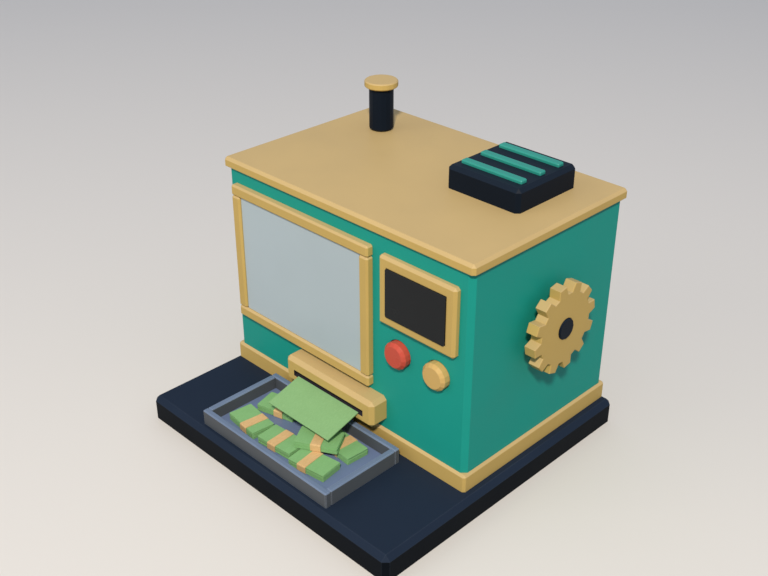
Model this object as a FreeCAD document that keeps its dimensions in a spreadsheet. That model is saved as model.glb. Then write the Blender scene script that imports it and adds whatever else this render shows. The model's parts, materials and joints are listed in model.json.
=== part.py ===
# Toy banknote machine: a cabinet on a flat slab, with a hand-cranked note feed.
#
# Millimetres. The origin is the centre of the slab's underside, +Z is up, the
# window and the slot face -Y, and the hand gear is on the +X side.

import FreeCAD, Part
import math
import os
import re
from types import SimpleNamespace

from FreeCAD import Placement, Rotation, Vector

os.makedirs("parts", exist_ok=True)
doc = FreeCAD.newDocument("NoteMachine")
sheet = doc.addObject("Spreadsheet::Sheet", "Sizes")
size = SimpleNamespace()
pieces = []


def add_sizes(values):
    """Write each named value to its own aliased cell, and keep it as size.NAME."""
    for name, value in values.items():
        row = len(vars(size)) + 1
        sheet.set(f"A{row}", name)
        sheet.set(f"B{row}", str(value))
        sheet.setAlias(f"B{row}", name)
        setattr(size, name, value)


# The driving sizes. Heights named *_sill and *_rise count from the slab's top;
# insets count from the cabinet's left or right wall.
SIZES = {
    "slab_width": 212.0,
    "slab_depth": 206.6,
    "slab_height": 16.4,
    "slab_bevel": 3.2,
    "front_apron": 70.6,
    "cabinet_offset": -2.1,

    "cabinet_width": 200.0,
    "cabinet_depth": 132.4,
    "cabinet_height": 140.0,
    "cabinet_bevel": 3.0,
    "wall": 3.0,
    "plinth_height": 11.5,
    "plinth_proud": 1.5,
    "plinth_bevel": 1.4,
    "boss_side": 14.0,
    "lid_height": 5.8,
    "lid_overhang": 1.9,
    "lid_bevel": 1.7,
    "lid_lip": 3.0,

    "window_inset": 7.0,
    "window_gap": 8.0,
    "window_sill": 37.6,
    "window_height": 93.0,
    "bar_width": 7.2,
    "bar_proud": 4.5,
    "bar_bevel": 1.1,
    "pane_proud": 2.8,
    "pane_rim": 3.0,

    "bezel_inset": 7.9,
    "bezel_sill": 86.1,
    "bezel_width": 56.7,
    "bezel_height": 43.2,
    "bezel_proud": 4.0,
    "bezel_bevel": 1.6,
    "panel_width": 44.3,
    "panel_height": 30.4,
    "panel_proud": 0.8,
    "panel_depth": 3.0,
    "panel_corner": 1.2,

    "button_rise": 69.0,
    "red_inset": 51.4,
    "gold_inset": 21.9,
    "button_radius": 8.5,
    "button_proud": 5.3,
    "button_bevel": 1.8,
    "button_sides": 16,
    "button_gap": 0.3,
    "flange_radius": 10.5,
    "flange_depth": 1.8,
    "stem_radius": 2.5,
    "stem_length": 17.0,
    "bracket_standoff": 13.0,
    "bracket_depth": 2.0,
    "bracket_height": 14.0,
    "bracket_leg": 2.5,
    "coil_radius": 4.2,
    "coil_wire": 0.8,
    "coil_turns": 6,

    "chimney_inset": 33.7,
    "chimney_setback": 100.2,
    "chimney_radius": 7.95,
    "chimney_height": 28.8,
    "chimney_foot": 1.5,
    "chimney_sides": 16,
    "spigot_radius": 5.0,
    "spigot_length": 4.0,
    "cap_radius": 11.0,
    "cap_height": 4.35,
    "cap_bevel": 0.7,

    "vent_inset": 47.1,
    "vent_setback": 86.95,
    "vent_width": 53.0,
    "vent_depth": 53.3,
    "vent_height": 14.3,
    "vent_bevel": 2.3,
    "vent_wall": 5.0,
    "rib_length": 44.0,
    "rib_width": 5.2,
    "rib_height": 2.1,
    "rib_bevel": 0.6,
    "rib_pitch": 16.7,

    "housing_width": 77.0,
    "housing_sill": 16.8,
    "housing_height": 17.7,
    "housing_proud": 12.4,
    "housing_bevel": 2.4,
    "slot_width": 61.5,
    "slot_headroom": 3.4,
    "path_rise": 23.1,
    "path_slope": 16.3,
    "paper_gap": 0.35,

    "tray_width": 112.0,
    "tray_depth": 58.6,
    "tray_height": 10.0,
    "tray_wall": 4.0,
    "tray_floor": 1.6,
    "tray_bevel": 0.6,
    "tray_gap": 6.7,

    "note_width": 53.6,
    "note_length": 25.8,
    "note_thickness": 0.6,
    "note_hold": 0.4,
    "bundle_gap": 7.67,
    "bundle_row_gap": 9.3,
    "bundle_height": 4.2,
    "band_width": 6.4,
    "band_thickness": 0.35,
    "stack_height": 8.0,

    "nip_setback": 23.0,
    "nip_clearance": 0.2,
    "roller_radius": 7.0,
    "roller_length": 50.0,
    "hub_radius": 4.5,
    "axle_radius": 3.0,
    "running_fit": 0.05,
    "end_play": 0.3,
    "fit": 0.1,

    "gear_setback": 66.5,
    "gear_rise": 85.0,
    "gear_standoff": 6.0,
    "gear_thickness": 7.4,
    "gear_teeth": 12,
    "gear_tip_radius": 27.5,
    "gear_root_radius": 22.3,
    "gear_tooth_tip": 5.8,
    "gear_tooth_root": 8.0,
    "gear_phase": 11.0,
    "gear_bevel": 0.3,
    "gear_boss_radius": 8.0,
    "hub_cap_radius": 6.5,
    "hub_cap_depth": 2.6,
    "hub_cap_proud": 1.0,
    "hub_cap_bevel": 0.5,
    "hub_cap_sides": 12,
    "shaft_radius": 4.0,
    "collar_radius": 6.5,
    "collar_length": 4.0,
    "bush_radius": 6.5,
    "bush_flange": 9.5,
    "bush_flange_depth": 1.5,
    "bush_inner": 6.0,
    "bush_proud": 1.0,

    "module": 1.5,
    "drive_teeth": 36,
    "idler_teeth": 20,
    "pinion_teeth": 18,
    "train_width": 6.0,
    "train_gap": 1.0,
    "backlash": 0.3,
    "plate_spacing": 72.0,
    "plate_thickness": 3.0,
    "plate_margin": 10.0,
    "foot_width": 12.0,
    "peg_radius": 2.5,
    "peg_length": 6.0,
    "guide_thickness": 1.8,
    "guide_clear": 0.6,
    "gate_distance": 14.0,
    "gate_thickness": 3.0,
    "cheek_height": 10.0,
    "cheek_thickness": 2.5,

    "base_head_radius": 4.0,
    "base_head_height": 2.6,
    "base_head_recess": 4.0,
    "base_shank_radius": 1.6,
    "base_grip": 7.0,
    "cover_margin": 18.0,
    "cover_lap": 8.0,
    "cover_thickness": 2.0,
    "cover_bevel": 0.5,
    "cover_head_radius": 3.0,
    "cover_head_height": 1.8,
    "cover_shank_radius": 1.3,
    "screw_drive": 1.2,
}
add_sizes(SIZES)

# Places that follow from the driving sizes.
add_sizes({
    "cabinet_front": size.front_apron - size.slab_depth / 2,
    "cabinet_left": size.cabinet_offset - size.cabinet_width / 2,
    "cabinet_right": size.cabinet_offset + size.cabinet_width / 2,
    "cabinet_top": size.slab_height + size.cabinet_height,
    "shell_bottom": size.slab_height + size.plinth_height,
})
add_sizes({
    "cabinet_back": size.cabinet_front + size.cabinet_depth,
    "lid_top": size.cabinet_top + size.lid_height,
    "window_left": size.cabinet_left + size.window_inset,
    "window_bottom": size.slab_height + size.window_sill,
    "window_width": size.cabinet_width - size.window_inset - size.window_gap
                    - size.bezel_width - size.bezel_inset,
    "panel_face": size.bezel_proud + size.panel_proud,
    "button_z": size.slab_height + size.button_rise,
    "note_drop": size.note_thickness / 2 + size.paper_gap,
    "shaft_y": size.cabinet_front + size.gear_setback,
    "shaft_z": size.slab_height + size.gear_rise,
    "path_y": size.cabinet_front - size.housing_proud,
    "path_z": size.slab_height + size.path_rise,
    "tray_y": size.cabinet_front - size.tray_gap - size.tray_depth / 2,
    "bundle_pitch": (size.tray_width - 2 * size.tray_wall) / 3,
    "row_pitch": (size.tray_depth - 2 * size.tray_wall) / 2,
    "shaft_seat": size.hub_cap_depth - size.hub_cap_proud,
    "plate_outer": size.plate_spacing / 2 + size.plate_thickness,
})
add_sizes({
    "bundle_length": size.bundle_pitch - size.bundle_gap,
    "bundle_width": size.row_pitch - size.bundle_row_gap,
})

# The note travels on a straight path that rises to the rear; places on it are
# (distance along the path, distance above it).
slope = math.radians(size.path_slope)
nip_along = (size.nip_setback + size.housing_proud) / math.cos(slope)
roller_offset = size.roller_radius + size.note_thickness / 2 + size.nip_clearance


def on_path(along, above):
    """(Y, Z) of a place given along and above the paper path."""
    y = size.path_y + along * math.cos(slope) - above * math.sin(slope)
    z = size.path_z + along * math.sin(slope) + above * math.cos(slope)
    return y, z


def idler_centre(start, end, start_reach, end_reach):
    """Lower of the two points at the given reaches from both gear centres."""
    span = math.dist(start, end)
    along = (start_reach ** 2 - end_reach ** 2 + span ** 2) / (2 * span)
    aside = math.sqrt(start_reach ** 2 - along ** 2)
    unit = ((end[0] - start[0]) / span, (end[1] - start[1]) / span)
    return (start[0] + along * unit[0] - aside * unit[1],
            start[1] + along * unit[1] + aside * unit[0])


drive_centre = (size.shaft_y, size.shaft_z)
feed_centre = on_path(nip_along, roller_offset)
pinch_centre = on_path(nip_along, -roller_offset)
middle_centre = idler_centre(
    drive_centre, feed_centre,
    size.module * (size.drive_teeth + size.idler_teeth) / 2,
    size.module * (size.idler_teeth + size.pinion_teeth) / 2)

add_sizes({
    "nip_along": nip_along,
    "feed_y": feed_centre[0],
    "feed_z": feed_centre[1],
    "pinch_y": pinch_centre[0],
    "pinch_z": pinch_centre[1],
    "idler_y": middle_centre[0],
    "idler_z": middle_centre[1],
    "guide_start": (size.housing_proud + size.wall + size.guide_clear) / math.cos(slope),
    "guide_end": nip_along + size.gate_distance + size.note_length
                 + 2 * size.end_play + size.cheek_thickness + size.gate_thickness,
    "roller_window": 2 * math.sqrt(
        size.roller_radius ** 2
        - (roller_offset - size.note_drop - size.guide_thickness) ** 2) + 2 * size.guide_clear,
})


def bind(item, target, expression):
    """Bind a property to an expression over the sheet's named sizes."""
    def cell(match):
        name = match.group()
        return f"Sizes.{name}" if hasattr(size, name) else name
    item.setExpression(target, re.sub(r"[a-z][a-z_]*", cell, expression))


def place(item, at, axis=None, turn=None):
    """Bind an item's place, and its turn about an axis where it has one."""
    if axis is not None:
        item.Placement = Placement(Vector(), Rotation(Vector(*axis), 1.0))
        bind(item, "Placement.Rotation.Angle", turn)
    for letter, expression in zip("xyz", at):
        bind(item, f"Placement.Base.{letter}", expression)


def new_piece(label, at, axis=None, turn=None):
    """Start one sub-part at its own place."""
    piece = doc.addObject("PartDesign::Body", label)
    piece.Label = label
    place(piece, at, axis, turn)
    pieces.append(piece)
    return piece


def block(piece, name, extent, at, cut=False, axis=None, turn=None):
    """Add or cut a box with its low corner at the given place."""
    kind = "PartDesign::SubtractiveBox" if cut else "PartDesign::AdditiveBox"
    box = piece.newObject(kind, name)
    for target, expression in zip(("Length", "Width", "Height"), extent):
        bind(box, target, expression)
    place(box, at, axis, turn)
    return box


# How a round or many-sided primitive, which rises along its own Z, is laid.
TURNS = {
    "+X": ((0, 1, 0), "90"),
    "-X": ((0, 1, 0), "-90"),
    "+Y": ((1, 0, 0), "-90"),
    "-Y": ((1, 0, 0), "90"),
    "+Z": ((0, 0, 1), "0"),
    "-Z": ((1, 0, 0), "180"),
}


def rod(piece, name, direction, radius, length, at, cut=False):
    """Add or cut a round rod that starts at the given place."""
    kind = "PartDesign::SubtractiveCylinder" if cut else "PartDesign::AdditiveCylinder"
    cylinder = piece.newObject(kind, name)
    bind(cylinder, "Radius", radius)
    bind(cylinder, "Height", length)
    place(cylinder, at, *TURNS[direction])
    return cylinder


def prism(piece, name, direction, sides, radius, length, at, cut=False):
    """Add or cut a regular prism that starts at the given place."""
    kind = "PartDesign::SubtractivePrism" if cut else "PartDesign::AdditivePrism"
    body = piece.newObject(kind, name)
    bind(body, "Polygon", sides)
    bind(body, "Circumradius", radius)
    bind(body, "Height", length)
    place(body, at, *TURNS[direction])
    return body


def flat_at(axis, value):
    """A test for edges that lie in the plane axis = value."""
    low, high = {"x": ("XMin", "XMax"), "y": ("YMin", "YMax"), "z": ("ZMin", "ZMax")}[axis]

    def test(edge):
        bounds = edge.BoundBox
        return abs(getattr(bounds, low) - value) < 1e-4 and abs(getattr(bounds, high) - value) < 1e-4
    return test


def along(axis):
    """A test for straight edges parallel to an axis."""
    def test(edge):
        bounds = edge.BoundBox
        spans = {"x": bounds.XLength, "y": bounds.YLength, "z": bounds.ZLength}
        longest = spans.pop(axis)
        return longest > 0.1 and max(spans.values()) < 1e-4
    return test


def off(test):
    return lambda edge: not test(edge)


def ease(piece, width, test=None, kind="Chamfer"):
    """Bevel or round the tip's edges that pass the test, or all of them."""
    doc.recompute()
    base = piece.Tip
    feature = piece.newObject(f"PartDesign::{kind}", kind)
    if test is None:
        feature.Base = (base, ["Edge1"])
        feature.UseAllEdges = True
    else:
        names = [f"Edge{i}" for i, edge in enumerate(base.Shape.Edges, 1) if test(edge)]
        feature.Base = (base, names)
    bind(feature, "Size" if kind == "Chamfer" else "Radius", width)
    return feature


def plane_of(piece, role):
    """One of the piece's own origin planes."""
    return next(item for item in piece.Origin.OriginFeatures if item.Role == role)


def profile(piece, name, role, points):
    """A closed outline of straight lines on one of the piece's origin planes."""
    sketch = piece.newObject("Sketcher::SketchObject", name)
    sketch.AttachmentSupport = [(plane_of(piece, role), "")]
    sketch.MapMode = "FlatFace"
    for start, end in zip(points, points[1:] + points[:1]):
        sketch.addGeometry(Part.LineSegment(Vector(*start, 0), Vector(*end, 0)), False)
    return sketch


def toothed_wheel(piece, tooth, count, root_radius, thickness):
    """A disc along +X with one padded tooth repeated round it."""
    rod(piece, "Disc", "+X", root_radius, thickness, ("0", "0", "0"))
    doc.recompute()
    sketch = profile(piece, "ToothOutline", "YZ_Plane", tooth)
    pad = piece.newObject("PartDesign::Pad", "Tooth")
    pad.Profile = sketch
    bind(pad, "Length", thickness)
    doc.recompute()
    pattern = piece.newObject("PartDesign::PolarPattern", "Teeth")
    pattern.Originals = [pad]
    pattern.Axis = (sketch, ["N_Axis"])
    pattern.Angle = 360
    bind(pattern, "Occurrences", count)
    piece.Tip = pattern
    doc.recompute()
    return pattern


def turned(points, degrees):
    """Points turned about the origin."""
    angle = math.radians(degrees)
    return [(x * math.cos(angle) - y * math.sin(angle), x * math.sin(angle) + y * math.cos(angle))
            for x, y in points]


def involute_tooth(teeth):
    """One 20-degree involute tooth that points along the first axis."""
    pitch = size.module * teeth / 2
    base = pitch * math.cos(math.radians(20))
    root = pitch - 1.25 * size.module
    tip = pitch + size.module

    def involute(radius):
        pressure = math.acos(min(1.0, base / radius))
        return math.tan(pressure) - pressure

    half_at_pitch = math.pi / (2 * teeth) - size.backlash / (4 * pitch)
    start = max(base, root)
    steps = 6
    radii = [start + (tip - start) * step / steps for step in range(steps + 1)]
    flank = [(radius, half_at_pitch + involute(pitch) - involute(radius)) for radius in radii]
    flank.insert(0, (root - 0.5, flank[0][1]))
    upper = [(radius * math.cos(angle), radius * math.sin(angle)) for radius, angle in flank]
    return [(x, -y) for x, y in upper] + upper[::-1]


# Slab, with screw holes from below and peg holes for the inner frames.
slab = new_piece("base_slab", ("0", "0", "0"))
block(slab, "Slab", ("slab_width", "slab_depth", "slab_height"),
      ("-slab_width / 2", "-slab_depth / 2", "0"))
ease(slab, "slab_bevel", off(flat_at("z", 0.0)))

screw_x = "(cabinet_width / 2 - wall - boss_side / 2)"
screw_y = "(cabinet_depth / 2 - wall - boss_side / 2)"
corners = [(name, f"cabinet_offset {dx} {screw_x}", f"(cabinet_front + cabinet_depth / 2) {dy} {screw_y}")
           for name, dx, dy in (("front_left", "-", "-"), ("front_right", "+", "-"),
                                ("rear_left", "-", "+"), ("rear_right", "+", "+"))]
for name, x, y in corners:
    rod(slab, "ScrewHole", "+Z", "base_shank_radius + fit", "slab_height", (x, y, "0"), cut=True)
    rod(slab, "ScrewRecess", "+Z", "base_head_radius + fit", "base_head_recess", (x, y, "0"), cut=True)

foot_middle = "(plate_outer + foot_width / 2)"
peg_places = {"front": "feed_y", "rear": "shaft_y"}
for side in ("-", "+"):
    for y in peg_places.values():
        rod(slab, "PegHole", "-Z", "peg_radius + fit", "peg_length + fit",
            (f"cabinet_offset {side} {foot_middle}", y, "slab_height"), cut=True)

for name, x, y in corners:
    screw = new_piece(f"base_screw_{name}", (x, y, "base_head_recess"))
    rod(screw, "Head", "-Z", "base_head_radius", "base_head_height", ("0", "0", "0"))
    rod(screw, "Shank", "+Z", "base_shank_radius", "slab_height - base_head_recess + base_grip",
        ("0", "0", "0"))
    prism(screw, "Socket", "+Z", "6", "screw_drive * 1.5", "base_head_height * 0.6",
          ("0", "0", "-base_head_height"), cut=True)

# Plinth frame, with a screw boss in each corner; the shell stands on it.
plinth = new_piece("plinth_frame", ("cabinet_offset", "cabinet_front + cabinet_depth / 2", "slab_height"))
block(plinth, "Frame",
      ("cabinet_width + 2 * plinth_proud", "cabinet_depth + 2 * plinth_proud", "plinth_height"),
      ("-cabinet_width / 2 - plinth_proud", "-cabinet_depth / 2 - plinth_proud", "0"))
ease(plinth, "plinth_bevel", off(flat_at("z", 0.0)))
block(plinth, "Inside", ("cabinet_width - 2 * wall", "cabinet_depth - 2 * wall", "plinth_height"),
      ("-cabinet_width / 2 + wall", "-cabinet_depth / 2 + wall", "0"), cut=True)
for dx in ("-", "+"):
    for dy in ("-", "+"):
        block(plinth, "Boss", ("boss_side", "boss_side", "plinth_height - fit"),
              (f"0 {dx} {screw_x} - boss_side / 2", f"0 {dy} {screw_y} - boss_side / 2", "0"))
        rod(plinth, "Pilot", "+Z", "base_shank_radius", "base_grip + fit",
            (f"0 {dx} {screw_x}", f"0 {dy} {screw_y}", "0"), cut=True)

# Cabinet shell: four walls, open below and above, with the front and side
# openings and a service opening in the rear wall.
shell_height = "(cabinet_height - plinth_height)"
shell = new_piece("body_shell", ("cabinet_offset", "cabinet_front", "shell_bottom"))
block(shell, "Walls", ("cabinet_width", "cabinet_depth", shell_height), ("-cabinet_width / 2", "0", "0"))
ease(shell, "cabinet_bevel", along("z"))
block(shell, "Inside", ("cabinet_width - 2 * wall", "cabinet_depth - 2 * wall", shell_height),
      ("-cabinet_width / 2 + wall", "wall", "0"), cut=True)
block(shell, "WindowOpening",
      ("window_width - 2 * bar_width - 2 * pane_rim", "wall",
       "window_height - 2 * bar_width - 2 * pane_rim"),
      ("-cabinet_width / 2 + window_inset + bar_width + pane_rim", "0",
       "window_sill - plinth_height + bar_width + pane_rim"), cut=True)
block(shell, "SlotOpening", ("slot_width", "housing_proud + 3 * wall", "note_drop + slot_headroom"),
      ("-slot_width / 2", "-housing_proud + note_drop * sin(path_slope * 1deg)",
       "path_rise - plinth_height - note_drop * cos(path_slope * 1deg)"),
      cut=True, axis=(1, 0, 0), turn="path_slope")
for inset in ("red_inset", "gold_inset"):
    rod(shell, "ButtonHole", "+Y", "button_radius + button_gap", "wall",
        (f"cabinet_width / 2 - {inset}", "0", "button_rise - plinth_height"), cut=True)
rod(shell, "ShaftHole", "-X", "bush_radius + fit", "wall",
    ("cabinet_width / 2", "gear_setback", "gear_rise - plinth_height"), cut=True)
block(shell, "ServiceOpening",
      ("cabinet_width - 2 * cover_margin", "wall", f"{shell_height} - 2 * cover_margin"),
      ("-cabinet_width / 2 + cover_margin", "cabinet_depth - wall", "cover_margin"), cut=True)
cover_screw_x = "(cabinet_width / 2 - cover_margin + cover_lap / 2)"
for side in ("-", "+"):
    rod(shell, "CoverPilot", "-Y", "cover_shank_radius", "wall",
        (f"0 {side} {cover_screw_x}", "cabinet_depth", f"{shell_height} / 2"), cut=True)

cover = new_piece("back_cover", ("cabinet_offset", "cabinet_back", "shell_bottom"))
block(cover, "Plate",
      ("cabinet_width - 2 * cover_margin + 2 * cover_lap", "cover_thickness",
       f"{shell_height} - 2 * cover_margin + 2 * cover_lap"),
      ("-cabinet_width / 2 + cover_margin - cover_lap", "0", "cover_margin - cover_lap"))
ease(cover, "cover_bevel", off(flat_at("y", 0.0)))
for side, name in (("-", "left"), ("+", "right")):
    rod(cover, "ScrewHole", "+Y", "cover_shank_radius + fit", "cover_thickness",
        (f"0 {side} {cover_screw_x}", "0", f"{shell_height} / 2"), cut=True)
for side, name in (("-", "left"), ("+", "right")):
    screw = new_piece(f"cover_screw_{name}", (f"cabinet_offset {side} {cover_screw_x}",
                                              "cabinet_back + cover_thickness",
                                              f"shell_bottom + {shell_height} / 2"))
    rod(screw, "Head", "+Y", "cover_head_radius", "cover_head_height", ("0", "0", "0"))
    rod(screw, "Shank", "-Y", "cover_shank_radius", "cover_thickness + wall", ("0", "0", "0"))
    prism(screw, "Socket", "-Y", "6", "screw_drive", "cover_head_height * 0.6",
          ("0", "cover_head_height", "0"), cut=True)

# Lid, with a locating lip inside the walls.
vent_middle_x = "(cabinet_width / 2 - vent_inset)"
vent_middle_y = "(vent_setback - cabinet_depth / 2)"
chimney_x = "(chimney_inset - cabinet_width / 2)"
chimney_y = "(chimney_setback - cabinet_depth / 2)"
lid = new_piece("lid", ("cabinet_offset", "cabinet_front + cabinet_depth / 2", "cabinet_top"))
block(lid, "Board",
      ("cabinet_width + 2 * lid_overhang", "cabinet_depth + 2 * lid_overhang", "lid_height"),
      ("-cabinet_width / 2 - lid_overhang", "-cabinet_depth / 2 - lid_overhang", "0"))
ease(lid, "lid_bevel", off(flat_at("z", 0.0)))
block(lid, "Lip",
      ("cabinet_width - 2 * wall - 2 * fit", "cabinet_depth - 2 * wall - 2 * fit", "lid_lip"),
      ("-cabinet_width / 2 + wall + fit", "-cabinet_depth / 2 + wall + fit", "-lid_lip"))
block(lid, "LipInside",
      ("cabinet_width - 4 * wall", "cabinet_depth - 4 * wall", "lid_lip"),
      ("-cabinet_width / 2 + 2 * wall", "-cabinet_depth / 2 + 2 * wall", "-lid_lip"), cut=True)
rod(lid, "ChimneySocket", "-Z", "spigot_radius + fit", "spigot_length + fit",
    (chimney_x, chimney_y, "lid_height"), cut=True)
block(lid, "VentHole",
      ("vent_width - 4 * vent_wall", "vent_depth - 4 * vent_wall", "lid_height"),
      (f"{vent_middle_x} - vent_width / 2 + 2 * vent_wall",
       f"{vent_middle_y} - vent_depth / 2 + 2 * vent_wall", "0"), cut=True)

# Window: four bars round a pane that lies on the front wall.
inner_height = "(window_height - 2 * bar_width)"
for name, z in (("bottom", "0"), ("top", "window_height - bar_width")):
    bar = new_piece(f"window_bar_{name}",
                    ("window_left", "cabinet_front - bar_proud", f"window_bottom + {z}"))
    block(bar, "Bar", ("window_width", "bar_proud", "bar_width"), ("0", "0", "0"))
    ease(bar, "bar_bevel", off(flat_at("y", size.bar_proud)))
for name, x in (("left", "0"), ("right", "window_width - bar_width")):
    bar = new_piece(f"window_bar_{name}", (f"window_left + {x}", "cabinet_front - bar_proud",
                                           "window_bottom + bar_width"))
    block(bar, "Bar", ("bar_width", "bar_proud", inner_height), ("0", "0", "0"))
    ease(bar, "bar_bevel", off(flat_at("y", size.bar_proud)))
pane = new_piece("window_pane", ("window_left + bar_width + fit", "cabinet_front - pane_proud",
                                 "window_bottom + bar_width + fit"))
block(pane, "Pane", ("window_width - 2 * bar_width - 2 * fit", "pane_proud", f"{inner_height} - 2 * fit"),
      ("0", "0", "0"))

# Screen: a dark panel seated in a bevelled bezel.
bezel_centre = "(cabinet_right - bezel_inset - bezel_width / 2)"
bezel = new_piece("screen_bezel", (bezel_centre, "cabinet_front", "slab_height + bezel_sill"))
block(bezel, "Block", ("bezel_width", "bezel_proud", "bezel_height"),
      ("-bezel_width / 2", "-bezel_proud", "0"))
ease(bezel, "bezel_bevel", off(flat_at("y", 0.0)))
block(bezel, "PanelSeat", ("panel_width + 2 * fit", "panel_depth - panel_proud", "panel_height + 2 * fit"),
      ("-panel_width / 2 - fit", "-bezel_proud", "(bezel_height - panel_height) / 2 - fit"), cut=True)
panel = new_piece("screen_panel", (bezel_centre, "cabinet_front - panel_face",
                                   "slab_height + bezel_sill + bezel_height / 2"))
block(panel, "Panel", ("panel_width", "panel_depth", "panel_height"),
      ("-panel_width / 2", "0", "-panel_height / 2"))
ease(panel, "panel_corner", along("y"), kind="Fillet")

# Push buttons: a many-sided cap in front, a retaining flange behind the wall, a
# stem guided by the bracket, and a return spring round the stem.
for name, inset in (("red_button", "red_inset"), ("gold_button", "gold_inset")):
    button = new_piece(name, (f"cabinet_right - {inset}", "cabinet_front", "button_z"))
    prism(button, "Cap", "+Y", "button_sides", "button_radius", "button_proud + wall + fit",
          ("0", "-button_proud", "0"))
    ease(button, "button_bevel", flat_at("y", -size.button_proud))
    rod(button, "Flange", "+Y", "flange_radius", "flange_depth", ("0", "wall + fit", "0"))
    rod(button, "Stem", "+Y", "stem_radius", "stem_length", ("0", "wall + fit + flange_depth", "0"))

bracket_x = "(cabinet_right - (red_inset + gold_inset) / 2)"
bracket_reach = "((red_inset - gold_inset) / 2 + flange_radius + bracket_leg)"
bracket = new_piece("button_bracket", (bracket_x, "cabinet_front + wall", "button_z - bracket_height / 2"))
block(bracket, "Channel", (f"2 * {bracket_reach}", "bracket_standoff + bracket_depth", "bracket_height"),
      (f"-{bracket_reach}", "0", "0"))
block(bracket, "Room", (f"2 * {bracket_reach} - 2 * bracket_leg", "bracket_standoff", "bracket_height"),
      (f"-{bracket_reach} + bracket_leg", "0", "0"), cut=True)
for side in ("-", "+"):
    rod(bracket, "StemGuide", "+Y", "stem_radius + running_fit", "bracket_depth",
        (f"0 {side} (red_inset - gold_inset) / 2", "bracket_standoff", "bracket_height / 2"), cut=True)

for name, inset in (("red_button_spring", "red_inset"), ("gold_button_spring", "gold_inset")):
    spring = new_piece(name, (f"cabinet_right - {inset}",
                              "cabinet_front + wall + flange_depth + 2 * fit + coil_wire / 2", "button_z"),
                       (1, 0, 0), "-90")
    section = spring.newObject("Sketcher::SketchObject", "Wire")
    section.AttachmentSupport = [(plane_of(spring, "XZ_Plane"), "")]
    section.MapMode = "FlatFace"
    wire = Part.Circle(Vector(size.coil_radius, 0, 0), Vector(0, 0, 1), size.coil_wire / 2)
    section.addGeometry(wire, False)
    coil = spring.newObject("PartDesign::AdditiveHelix", "Coil")
    coil.Profile = section
    coil.ReferenceAxis = (section, ["V_Axis"])
    coil.Mode = "height-turns-angle"
    bind(coil, "Height", "bracket_standoff - flange_depth - coil_wire - 3 * fit")
    bind(coil, "Turns", "coil_turns")

# Chimney and its cap.
stem = new_piece("chimney_stem",
                 (f"cabinet_offset + {chimney_x}", "cabinet_front + chimney_setback", "lid_top"))
prism(stem, "Stem", "+Z", "chimney_sides", "chimney_radius", "chimney_height", ("0", "0", "0"))
ease(stem, "chimney_foot", flat_at("z", 0.0))
rod(stem, "LowerSpigot", "-Z", "spigot_radius", "spigot_length", ("0", "0", "0"))
rod(stem, "UpperSpigot", "+Z", "spigot_radius", "cap_height / 2", ("0", "0", "chimney_height"))
cap = new_piece("chimney_cap", (f"cabinet_offset + {chimney_x}", "cabinet_front + chimney_setback",
                                "lid_top + chimney_height"))
prism(cap, "Cap", "+Z", "chimney_sides", "cap_radius", "cap_height", ("0", "0", "0"))
ease(cap, "cap_bevel")
rod(cap, "Socket", "+Z", "spigot_radius + fit", "cap_height / 2 + fit", ("0", "0", "0"), cut=True)

# Vent hood over the lid's opening, with three ribs across its top.
vent = new_piece("vent_box",
                 (f"cabinet_offset + {vent_middle_x}", "cabinet_front + vent_setback", "lid_top"))
block(vent, "Hood", ("vent_width", "vent_depth", "vent_height"), ("-vent_width / 2", "-vent_depth / 2", "0"))
ease(vent, "vent_bevel", off(flat_at("z", 0.0)))
block(vent, "Inside",
      ("vent_width - 2 * vent_wall", "vent_depth - 2 * vent_wall", "vent_height - vent_wall"),
      ("-vent_width / 2 + vent_wall", "-vent_depth / 2 + vent_wall", "0"), cut=True)
for name, shift in (("front", "-"), ("middle", "0 *"), ("rear", "")):
    rib = new_piece(f"vent_rib_{name}", (f"cabinet_offset + {vent_middle_x}",
                                         f"cabinet_front + vent_setback + {shift} rib_pitch",
                                         "lid_top + vent_height"))
    block(rib, "Rib", ("rib_length", "rib_width", "rib_height"), ("-rib_length / 2", "-rib_width / 2", "0"))
    ease(rib, "rib_bevel", off(flat_at("z", 0.0)))

# Slot housing on the front wall, cut through on the slope of the paper path.
housing = new_piece("slot_housing", ("cabinet_offset", "cabinet_front", "slab_height + housing_sill"))
block(housing, "Block", ("housing_width", "housing_proud", "housing_height"),
      ("-housing_width / 2", "-housing_proud", "0"))
ease(housing, "housing_bevel", off(flat_at("y", 0.0)))
block(housing, "Slot", ("slot_width", "housing_proud + 4 * wall", "note_drop + slot_headroom"),
      ("-slot_width / 2",
       "-housing_proud - wall * cos(path_slope * 1deg) + note_drop * sin(path_slope * 1deg)",
       "path_rise - housing_sill - wall * sin(path_slope * 1deg) - note_drop * cos(path_slope * 1deg)"),
      cut=True, axis=(1, 0, 0), turn="path_slope")

# Tray: a floor and four walls; the long walls take the corners.
tray = ("cabinet_offset", "tray_y", "slab_height")
floor = new_piece("tray_floor", tray)
block(floor, "Floor", ("tray_width - 2 * tray_wall", "tray_depth - 2 * tray_wall", "tray_floor"),
      ("-tray_width / 2 + tray_wall", "-tray_depth / 2 + tray_wall", "0"))
for name, y in (("front", "-tray_depth / 2"), ("back", "tray_depth / 2 - tray_wall")):
    side = new_piece(f"tray_wall_{name}", tray)
    block(side, "Wall", ("tray_width", "tray_wall", "tray_height"), ("-tray_width / 2", y, "0"))
    ease(side, "tray_bevel", off(flat_at("z", 0.0)))
for name, x in (("left", "-tray_width / 2"), ("right", "tray_width / 2 - tray_wall")):
    side = new_piece(f"tray_wall_{name}", tray)
    block(side, "Wall", ("tray_wall", "tray_depth - 2 * tray_wall", "tray_height"),
          (x, "-tray_depth / 2 + tray_wall", "0"))
    ease(side, "tray_bevel", off(flat_at("z", 0.0)))

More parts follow.
